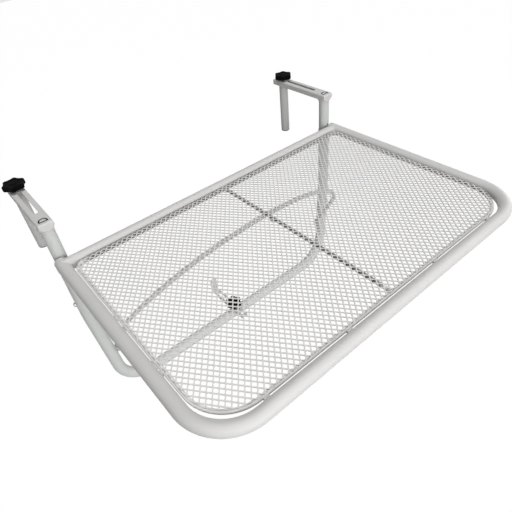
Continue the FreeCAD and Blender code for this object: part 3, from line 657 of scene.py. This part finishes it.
def knob_reach(angle, settings):
    """Distance from a knob's axis to its outline, with the lobes' corners rounded."""
    step = 2 * math.pi / settings.lobes
    off_hollow = (angle % step) - step / 2
    hollow_centre = KNOB_R - settings.hollow_depth + settings.hollow_radius
    across = hollow_centre * math.sin(off_hollow)
    inside = settings.hollow_radius ** 2 - across ** 2
    if inside <= 0:
        return KNOB_R
    hollow = hollow_centre * math.cos(off_hollow) - math.sqrt(inside)
    blend = 0.0003
    nearer = min(KNOB_R, hollow)
    rest = math.exp((nearer - KNOB_R) / blend) + math.exp((nearer - hollow) / blend)
    return nearer - blend * math.log(rest)


def knob_mesh(node, turn, settings):
    """A lobed knob with rounded rims, a shallow dish round a flat cap, and a six-sided neck below."""
    low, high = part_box(node)
    disc_low = low.z + KNOB_NECK_HEIGHT
    dish_depth = 0.0009
    dish = high.z - dish_depth
    # Each row has its inset from the outline, its height and how far it follows the hollows.
    rows = []
    for sine, cosine in quarter(4):
        rows.append((KNOB_RIM * (1 - sine), disc_low + KNOB_RIM * (1 - cosine), 1.0))
    for sine, cosine in quarter(4):
        rows.append((KNOB_RIM * (1 - cosine), high.z - KNOB_RIM * (1 - sine), 1.0))
    rows += [(KNOB_R * 0.22, high.z, 0.85), (KNOB_R * 0.30, dish, 0.6), (KNOB_R * 0.60, dish, 0.15),
             (KNOB_R * 0.66, dish, 0.0), (KNOB_R * 0.69, high.z - 0.0001, 0.0), (KNOB_R * 0.74, high.z, 0.0)]
    segments = settings.lobes * 24
    angles = [2 * math.pi * i / segments for i in range(segments)]
    hollows = [KNOB_R - knob_reach(angle, settings) for angle in angles]
    bm = bmesh.new()
    rings = []
    for inset, z, follow in rows:
        ring = []
        for angle, hollow in zip(angles, hollows):
            ring.append(bm.verts.new(on_circle(KNOB_R - inset - hollow * follow, angle, z)))
        rings.append(ring)
    skin(bm, rings)
    bottom = bm.verts.new((0, 0, disc_low))
    top = bm.verts.new((0, 0, high.z))
    for i in range(segments):
        j = (i + 1) % segments
        bm.faces.new((rings[0][j], rings[0][i], bottom))
        bm.faces.new((rings[-1][i], rings[-1][j], top))
    neck_in_disc, neck_chamfer = 0.001, 0.0004
    corner = KNOB_NECK_FLATS / math.sqrt(3)
    neck_top = disc_low + neck_in_disc
    lathe(bm, [(0, low.z), (corner * 0.94, low.z), (corner, low.z + neck_chamfer), (corner, neck_top),
               (0, neck_top)], 6)
    moved(bm, middle(node + "_screw"), turn)
    return shaded_smooth(outward_mesh(bm, node + "_lobed"), 38.0)


def peg_foot_mesh(side):
    """Moulded plug: a stem in the tube, a lip with a rounded edge and a shallow hollow below."""
    low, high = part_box(side + "_peg_foot")
    wall_and_play, gap = 0.0016, 0.00005
    hollow, edge_height, stem_chamfer = 0.0008, 0.0013, 0.001
    flat_share, edge_share = 0.86, 0.14
    lip = size("right_peg_tube").x / 2
    stem = lip - wall_and_play
    lip_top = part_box(side + "_peg_tube")[0].z - gap
    profile = [(0, low.z + hollow), (lip * 0.55, low.z + hollow), (lip * 0.62, low.z),
               (lip * flat_share, low.z)]
    for sine, cosine in quarter(4, 1):
        profile.append((lip * flat_share + lip * edge_share * sine, low.z + edge_height * (1 - cosine)))
    profile += [(lip, lip_top), (stem, lip_top), (stem, high.z - stem_chamfer),
                (stem - stem_chamfer, high.z), (0, high.z)]
    bm = bmesh.new()
    lathe(bm, profile, 48)
    moved(bm, (low + high) / 2)
    return shaded_smooth(outward_mesh(bm, side + "_peg_foot_plug"), 30.0)


def tenon_loop(grow):
    """The outline of the D-shaped end of a post, grown by a length."""
    half = TENON_WIDTH / 2 + grow
    back = TENON_DEPTH / 2 + grow
    front = TENON_DEPTH / 2 - TENON_DEPTH / 3
    loop = [(-half, -front), (-half, -back), (half, -back), (half, -front)]
    rise = back + front
    arc_r = (half ** 2 + rise ** 2) / (2 * rise)
    reach = math.atan2(half, arc_r - rise)
    steps = 16
    for step in range(1, steps):
        angle = reach - 2 * reach * step / steps
        loop.append((arc_r * math.sin(angle), back - arc_r + arc_r * math.cos(angle)))
    return loop


def tenon_shade_seam_mesh(top):
    """The dark filler in the D-shaped gap between an arm's window and the end of its post: a dark joint,
    with painted shade of the gap.

    Its lip laps a little way onto the steel on both sides of the gap.
    """
    inner, outer, lap = 0.00005, 0.00125, 0.0004
    low, seat, crest = -0.0012, 0.00002, 0.00015
    section = [(inner, low), (outer, low), (outer, seat), (outer + lap, seat), (outer + lap, crest),
               (inner - lap, crest), (inner - lap, seat), (inner, seat)]
    bm = bmesh.new()
    rings = []
    for grow, height in section:
        rings.append([bm.verts.new((top.x + x, top.y + y, top.z + height)) for x, y in tenon_loop(grow)])
    skin(bm, rings + rings[:1])
    return shaded_smooth(outward_mesh(bm, "tenon_seam"), 30.0)


def threaded_screw_mesh(node):
    """The screw of a knob, with its thread as a ridge that winds up the shank."""
    low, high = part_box(node)
    pitch, thread_depth, overlap = 0.001, 0.0005, 0.00002
    plain_end, end_chamfer, end_inset = 0.001, 0.0008, 0.0006
    outer = (high.x - low.x) / 2
    root = outer - thread_depth
    core = root + overlap
    section = ((root, 0.0), (outer, pitch * 0.4), (outer, pitch * 0.55), (root, pitch * 0.95))
    steps = 16
    turns = int((high.z - low.z - 2 * plain_end) / pitch)
    bm = bmesh.new()
    ribs = []
    for step in range(turns * steps + 1):
        angle = 2 * math.pi * step / steps
        z = low.z + plain_end + pitch * step / steps
        ribs.append([bm.verts.new(on_circle(radius, angle, z + rise)) for radius, rise in section])
    for lower, upper in zip(ribs, ribs[1:]):
        for k in range(3):
            bm.faces.new((lower[k], upper[k], upper[k + 1], lower[k + 1]))
    for rib in (ribs[0], ribs[-1]):
        bm.faces.new(rib)
    lathe(bm, [(0, low.z), (root - end_inset, low.z), (core, low.z + end_chamfer), (core, high.z),
               (0, high.z)], 32)
    moved(bm, (low + high) / 2)
    return shaded_smooth(plain_mesh(bm, node + "_thread"), 30.0)


def nut_mesh(name, across_flats, height, dome=0.0):
    """Hexagon nut with chamfered corners, or a cap nut with a dome over it. It stands on Z 0."""
    corner = across_flats / math.sqrt(3)
    flat = across_flats / 2
    face = flat * 0.98
    bm = bmesh.new()
    lathe(bm, [(0, 0), (face, 0), (corner, height * 0.14), (corner, height * 0.86), (face, height),
               (0, height)], 6)
    bmesh.ops.rotate(bm, verts=bm.verts, cent=(0, 0, 0), matrix=Matrix.Rotation(math.radians(30), 3, "Z"))
    if dome:
        dome_r = flat * 0.86
        profile = [(0, height * 0.9), (dome_r, height * 0.9)]
        for sine, cosine in quarter(5):
            profile.append((dome_r * cosine, height + dome * sine))
        lathe(bm, profile, 20)
    return in_scene(name, shaded_smooth(outward_mesh(bm, name), 30.0))


def bolt_mesh(name, radius, reach, head_radius, head_height, hexagon=False):
    """A bolt along Z: its head below Z 0 and its shank, with a chamfered end, above."""
    in_head, end_chamfer, end_inset = 0.0004, 0.0008, 0.0007
    bm = bmesh.new()
    lathe(bm, [(0, -in_head), (radius, -in_head), (radius, reach - end_chamfer), (radius - end_inset, reach),
               (0, reach)], 24)
    if hexagon:
        lathe(bm, [(0, -head_height), (head_radius * 0.82, -head_height), (head_radius, -head_height * 0.8),
                   (head_radius, 0), (0, 0)], 6)
    else:
        profile = [(0, -head_height)]
        for sine, cosine in quarter(6, 1):
            profile.append((head_radius * sine, -head_height * cosine))
        lathe(bm, profile + [(0, 0)], 28)
    return in_scene(name, shaded_smooth(outward_mesh(bm, name), 30.0))


def fasteners(name, node, shape, x, facing):
    """One fastener on both sides at a distance from the middle, facing out for 1 and in for -1."""
    centre = middle(node)
    start = bpy.data.meshes.new(name)
    start.from_pydata([(-x, centre.y, centre.z), (x, centre.y, centre.z)], [], [])
    directions = start.attributes.new("facing", "FLOAT_VECTOR", "POINT")
    directions.data.foreach_set("vector", [-facing, 0, 0, facing, 0, 0])
    tree = bpy.data.node_groups.get("Fastener on points") or on_points_tree()
    made = run_tree(tree, start, {"Shape": shape, "Material": paint("zinc_steel")})
    bpy.data.objects.remove(shape, do_unlink=True)
    finished(name, made, "hanger", "zinc_steel", [node])


def seam(name, paths, body, drop):
    """Painted weld seams along some paths, as one finished piece."""
    tree = bpy.data.node_groups.get("Weld seam") or weld_tree()
    start = bpy.data.meshes.new(name)
    points, edges = [], []
    for path in paths:
        first = len(points)
        points += [tuple(p) for p in path]
        edges += [(first + i, first + i + 1) for i in range(len(path) - 1)]
    start.from_pydata(points, edges, [])
    made = run_tree(tree, start, {"Spacing": drop * 0.9, "Drop": drop, "Material": paint("frame_paint")})
    finished(name, shaded_smooth(made), body, "frame_paint")


def ring_path(centre, radius, axis, steps):
    """Points on a circle round an axis through a centre."""
    turn = Vector((0, 0, 1)).rotation_difference(Vector(axis)).to_matrix().to_4x4()
    angles = [math.radians(360.0 * i / steps) for i in range(steps + 1)]
    return [centre + turn @ Vector(on_circle(radius, angle)) for angle in angles]


# Operators, one for each group of pieces

class RAILING_TABLE_OT_mesh_sheet(bpy.types.Operator):
    """Make the diamond mesh sheet of the table top"""
    bl_idname = "railing_table.mesh_sheet"
    bl_label = "Mesh sheet"

    def execute(self, context):
        settings = context.scene.railing_table_mesh
        low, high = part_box("mesh_panel")
        centre = (low + high) / 2
        reach = 0.0008
        cell = diamond_cell(settings)
        values = {
            "Cell": cell,
            "Half width": (high.x - low.x) / 2 + reach,
            "Half depth": (high.y - low.y) / 2 + reach,
            "Front corner": BORDER_FRONT_CORNER + reach,
            "Rear corner": BORDER_REAR_CORNER + reach,
            "Pitch across": settings.pitch_across,
            "Pitch along": settings.pitch_along,
            "Thickness": settings.thickness,
            "Lean": settings.lean,
            "Material": paint("mesh_paint"),
        }
        made = run_tree(diamond_tree(), bpy.data.meshes.new("Start"), values)
        bpy.data.objects.remove(cell, do_unlink=True)
        made.transform(Matrix.Translation((centre.x, centre.y, low.z)))
        finished("mesh_sheet", made, "table_top", "mesh_paint", ["mesh_panel"])
        return {"FINISHED"}


class RAILING_TABLE_OT_table_frame(bpy.types.Operator):
    """Paint the table's tubes, rods and plugs, and make its tabs, hinge ears and weld seams"""
    bl_idname = "railing_table.table_frame"
    bl_label = "Table frame"

    def execute(self, context):
        for node in ("table_frame_tube", "rear_cross_tube"):
            put_on(node, paint("frame_paint"))
        for node in ("border_rod", "mid_rod"):
            put_on(node, rod_paint())
        plates = [("rounded_tabs", "weld_tabs", 0.0006), ("rounded_catch", "catch_tab", 0.0005)]
        for side in SIDES:
            plates.append((side + "_ear_plate", side + "_hinge_ear", 0.0005))
            put_on(side + "_frame_plug", paint("plug_plastic"))
        for name, node, edge in plates:
            finished(name, softened(node, edge), "table_top", "frame_paint", [node])
        paths = []
        steps = 48
        for side in SIDES.values():
            saddle = []
            for i in range(steps + 1):
                angle = 2 * math.pi * i / steps
                out = TUBE_R * abs(math.cos(angle))
                saddle.append(Vector((side * (SIDE_X - out), REAR_Y + TUBE_R * math.cos(angle),
                                      TUBE_Z + TUBE_R * math.sin(angle))))
            paths.append(saddle)
        rod = middle("mid_rod")
        rod_r = size("mid_rod").x / 2
        low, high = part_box("mid_rod")
        inset = 0.0004
        for y in (low.y + inset, high.y - inset):
            paths.append(ring_path(Vector((0, y, rod.z)), rod_r, (0, 1, 0), steps=12))
        seam("table_welds", paths, "table_top", drop=0.0012)
        return {"FINISHED"}


class RAILING_TABLE_OT_hanger(bpy.types.Operator):
    """Paint the posts, the arms and the lower frame, and make the welds and the tenons' dark seams, which
    are dark joints with painted shade
    """
    bl_idname = "railing_table.hanger"
    bl_label = "Hanger"

    def execute(self, context):
        for node in ("u_frame_tube", "left_post", "right_post"):
            put_on(node, paint("post_paint"))
        put_on("lower_insert", paint("zinc_steel"))
        weld_below_collar = 0.0002
        paths = []
        for side, sign in SIDES.items():
            put_on(side + "_arm", paint("frame_paint"))
            low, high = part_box(side + "_arm")
            # A dark joint with painted shade in the gap round the post's D-shaped end, made of the black
            # knob plastic.
            made = tenon_shade_seam_mesh(Vector((sign * POST.x, POST.y, high.z)))
            finished(side + "_tenon_seam", made, "hanger", "knob_plastic")
            under_collar = Vector((sign * POST.x, POST.y, low.z - weld_below_collar))
            paths.append(ring_path(under_collar, POST_R, (0, 0, 1), steps=32))
        seam("post_welds", paths, "hanger", drop=0.0009)
        return {"FINISHED"}


class RAILING_TABLE_OT_prop(bpy.types.Operator):
    """Paint the bowed prop"""
    bl_idname = "railing_table.prop"
    bl_label = "Prop"

    def execute(self, context):
        put_on("prop_bail", paint("frame_paint"))
        return {"FINISHED"}


class RAILING_TABLE_OT_clamps(bpy.types.Operator):
    """Paint the two pegs, and make their feet and the three knobs with their screws and washers"""
    bl_idname = "railing_table.clamps"
    bl_label = "Clamps"

    def execute(self, context):
        settings = context.scene.railing_table_knob
        for side in SIDES:
            put_on(side + "_peg_tube", paint("frame_paint"))
            put_on(side + "_peg_insert", paint("frame_paint"))
            finished(side + "_peg_foot_plug", peg_foot_mesh(side), side + "_peg", "foot_plastic",
                     [side + "_peg_foot"])
        for side in ("left", "right", "lower"):
            node = side + "_knob"
            body = side + "_knob_set"
            made = knob_mesh(node, getattr(settings, side + "_turn"), settings)
            finished(side + "_star_knob", made, body, "knob_plastic", [node])
            made = threaded_screw_mesh(node + "_screw")
            finished(side + "_threaded_screw", made, body, "zinc_steel", [node + "_screw"])
            made = softened(node + "_washer", width=0.0002)
            finished(side + "_flat_washer", made, body, "zinc_steel", [node + "_washer"])
        return {"FINISHED"}


class RAILING_TABLE_OT_bottom_hook(bpy.types.Operator):
    """Make the slotted strip that hooks behind the railing's bottom bar"""
    bl_idname = "railing_table.bottom_hook"
    bl_label = "Bottom hook"

    def execute(self, context):
        made = softened("lower_hook", width=0.0005)
        finished("slotted_strip", made, "bottom_hook", "frame_paint", ["lower_hook"])
        return {"FINISHED"}


class RAILING_TABLE_OT_fasteners(bpy.types.Operator):
    """Make the nuts, bolts and hinge pins, and plate the prop's washers"""
    bl_idname = "railing_table.fasteners"
    bl_label = "Fasteners"

    def execute(self, context):
        shape = nut_mesh("Cap nut", across_flats=0.007, height=0.0024, dome=0.0015)
        fasteners("sleeve_cap_nuts", "sleeve_nuts", shape, size("sleeve_nuts").x / 2 - SLEEVE_NUT, 1)
        inner = POST.x - SLEEVE_R
        outer = POST.x + SLEEVE_R
        shape = bolt_mesh("Round head bolt", radius=0.002, reach=0.0245, head_radius=0.004,
                          head_height=0.0024)
        fasteners("sleeve_cross_bolts", "sleeve_bolts", shape, inner, 1)
        pin_end = inner - 2 * EAR_GAP - EAR_THICKNESS - HINGE_NUT - PIN_STICK_OUT
        shape = bolt_mesh("Low head pin", radius=0.004, reach=outer - pin_end, head_radius=0.007,
                          head_height=0.0017)
        fasteners("hinge_pin_pair", "hinge_pins", shape, outer, -1)
        shape = nut_mesh("Hinge nut", across_flats=0.013, height=HINGE_NUT)
        fasteners("hinge_nut_pair", "hinge_nuts", shape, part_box("hinge_nuts")[1].x, -1)
        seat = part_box("bail_washers")[1].x - BAIL_WASHER - BAIL_WASHER_GAP - EYE_THICKNESS - SLIDE_GAP
        shape = bolt_mesh("Hexagon bolt", radius=0.003, reach=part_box("bail_bolts")[1].x - seat,
                          head_radius=0.0057, head_height=0.004, hexagon=True)
        fasteners("prop_pivot_bolts", "bail_bolts", shape, seat, 1)
        put_on("bail_washers", paint("zinc_steel"))
        return {"FINISHED"}


class RAILING_TABLE_OT_studio(bpy.types.Operator):
    """Make the floor, the light and the camera"""
    bl_idname = "railing_table.studio"
    bl_label = "Studio"

    def execute(self, context):
        settings = context.scene.railing_table_studio
        scene = context.scene
        bm = bmesh.new()
        bmesh.ops.create_grid(bm, x_segments=4, y_segments=4, size=FLOOR_REACH)
        floor_mesh = outward_mesh(bm, "floor")
        floor_mesh.transform(Matrix.Translation((0, 0, -settings.floor_drop)))
        floor_mesh.materials.append(pale_floor())
        floor = in_scene("floor", floor_mesh)
        pale_world(scene, settings.fill)
        lamp("Front lamp", (-0.3, -2.8, 0.35), settings.front_power)
        lamp("Left lamp", (-2.0, -2.0, 0.6), settings.left_power)
        lamp("Right lamp", (2.8, -0.3, 0.4), settings.right_power)
        lamp("Top lamp", (0.0, -0.25, 2.7), settings.top_power)
        camera = in_scene("Camera", bpy.data.cameras.new("Camera"))
        camera.data.lens = CAMERA_LENS
        camera.data.sensor_width = SENSOR_WIDTH
        camera.data.clip_start = 0.02
        turn = Matrix((CAMERA_RIGHT, -CAMERA_DOWN, -CAMERA_AHEAD)).transposed().to_4x4()
        camera.matrix_world = Matrix.Translation(CAMERA_PLACE) @ turn
        scene.camera = camera
        scene.view_settings.view_transform = "Standard"
        return {"FINISHED"}


def lamp(name, place, power):
    """A square soft lamp aimed at the middle of the table."""
    data = bpy.data.lights.new(name, "AREA")
    data.size = LAMP_SIZE
    data.energy = power
    turn = (LAMP_AIM - Vector(place)).to_track_quat("-Z", "Y").to_matrix().to_4x4()
    thing = in_scene(name, data)
    thing.matrix_world = Matrix.Translation(place) @ turn


def seen_rays(sketch):
    """One for rays from the camera and for reflections, and nought for all other rays."""
    path = sketch.node("ShaderNodeLightPath").outputs
    return sketch.sum("MAXIMUM", path["Is Camera Ray"], path["Is Glossy Ray"])


def pale_floor():
    """A matt floor that the camera and reflections see as white, and that throws little light back."""
    made = bpy.data.materials.new("Pale floor")
    made.use_nodes = True
    sketch = NodeSketch(made.node_tree)
    nodes = made.node_tree.nodes
    dark_tone, pale_tone = 0.25, 0.9
    glow_strength, glow_share = 1.02, 0.97
    seen = seen_rays(sketch)
    shader = nodes["Principled BSDF"]
    tone = sketch.node("ShaderNodeMapRange", Value=seen, To_Min=dark_tone, To_Max=pale_tone)
    sketch.feed(shader.inputs["Base Color"], tone.outputs["Result"])
    sketch.feed(shader.inputs["Roughness"], 0.9)
    glow = sketch.node("ShaderNodeEmission", Strength=glow_strength)
    mix = sketch.node("ShaderNodeMixShader", Fac=sketch.sum("MULTIPLY", seen, glow_share),
                      in_1=shader.outputs[0], in_2=glow.outputs[0])
    sketch.feed(nodes["Material Output"].inputs["Surface"], mix.outputs[0])
    return made


def pale_world(scene, fill):
    """A pale grey to the camera and in reflections, and a soft white fill for everything else."""
    world = bpy.data.worlds.new("Studio")
    scene.world = world
    world.use_nodes = True
    sketch = NodeSketch(world.node_tree)
    nodes = world.node_tree.nodes
    background = nodes["Background"]
    sketch.feed(background.inputs["Color"], (1.0, 1.0, 1.0, 1.0))
    sketch.feed(background.inputs["Strength"], fill)
    seen_pale = sketch.node("ShaderNodeBackground", Color=(0.8, 0.8, 0.8, 1.0), Strength=1.0)
    mix = sketch.node("ShaderNodeMixShader", Fac=seen_rays(sketch),
                      in_1=background.outputs[0], in_2=seen_pale.outputs[0])
    sketch.feed(nodes["World Output"].inputs["Surface"], mix.outputs[0])


class RAILING_TABLE_PT_panel(bpy.types.Panel):
    """Lists the settings and the steps that dress the table"""
    bl_label = "Railing table"
    bl_idname = "RAILING_TABLE_PT_panel"
    bl_space_type = "VIEW_3D"
    bl_region_type = "UI"
    bl_category = "Railing table"

    def draw(self, context):
        layout = self.layout
        for group_name in SETTINGS:
            group = getattr(context.scene, group_name)
            column = layout.column()
            for key in type(group).__annotations__:
                column.prop(group, key)
        for step in STEPS:
            layout.operator(step.bl_idname)


SETTINGS = {
    "railing_table_mesh": MeshSheetSettings,
    "railing_table_paint": PaintSettings,
    "railing_table_knob": KnobSettings,
    "railing_table_studio": StudioSettings,
}
STEPS = (
    RAILING_TABLE_OT_mesh_sheet,
    RAILING_TABLE_OT_table_frame,
    RAILING_TABLE_OT_hanger,
    RAILING_TABLE_OT_prop,
    RAILING_TABLE_OT_clamps,
    RAILING_TABLE_OT_bottom_hook,
    RAILING_TABLE_OT_fasteners,
    RAILING_TABLE_OT_studio,
)


def register():
    for kind in (*SETTINGS.values(), *STEPS, RAILING_TABLE_PT_panel):
        bpy.utils.register_class(kind)
    for name, kind in SETTINGS.items():
        setattr(bpy.types.Scene, name, bpy.props.PointerProperty(type=kind))


def unregister():
    for name in SETTINGS:
        delattr(bpy.types.Scene, name)
    for kind in reversed((*SETTINGS.values(), *STEPS, RAILING_TABLE_PT_panel)):
        bpy.utils.unregister_class(kind)


def main():
    register()
    bpy.ops.railing_table.mesh_sheet()
    bpy.ops.railing_table.table_frame()
    bpy.ops.railing_table.hanger()
    bpy.ops.railing_table.prop()
    bpy.ops.railing_table.clamps()
    bpy.ops.railing_table.bottom_hook()
    bpy.ops.railing_table.fasteners()
    bpy.ops.railing_table.studio()


if __name__ == "__main__":
    main()
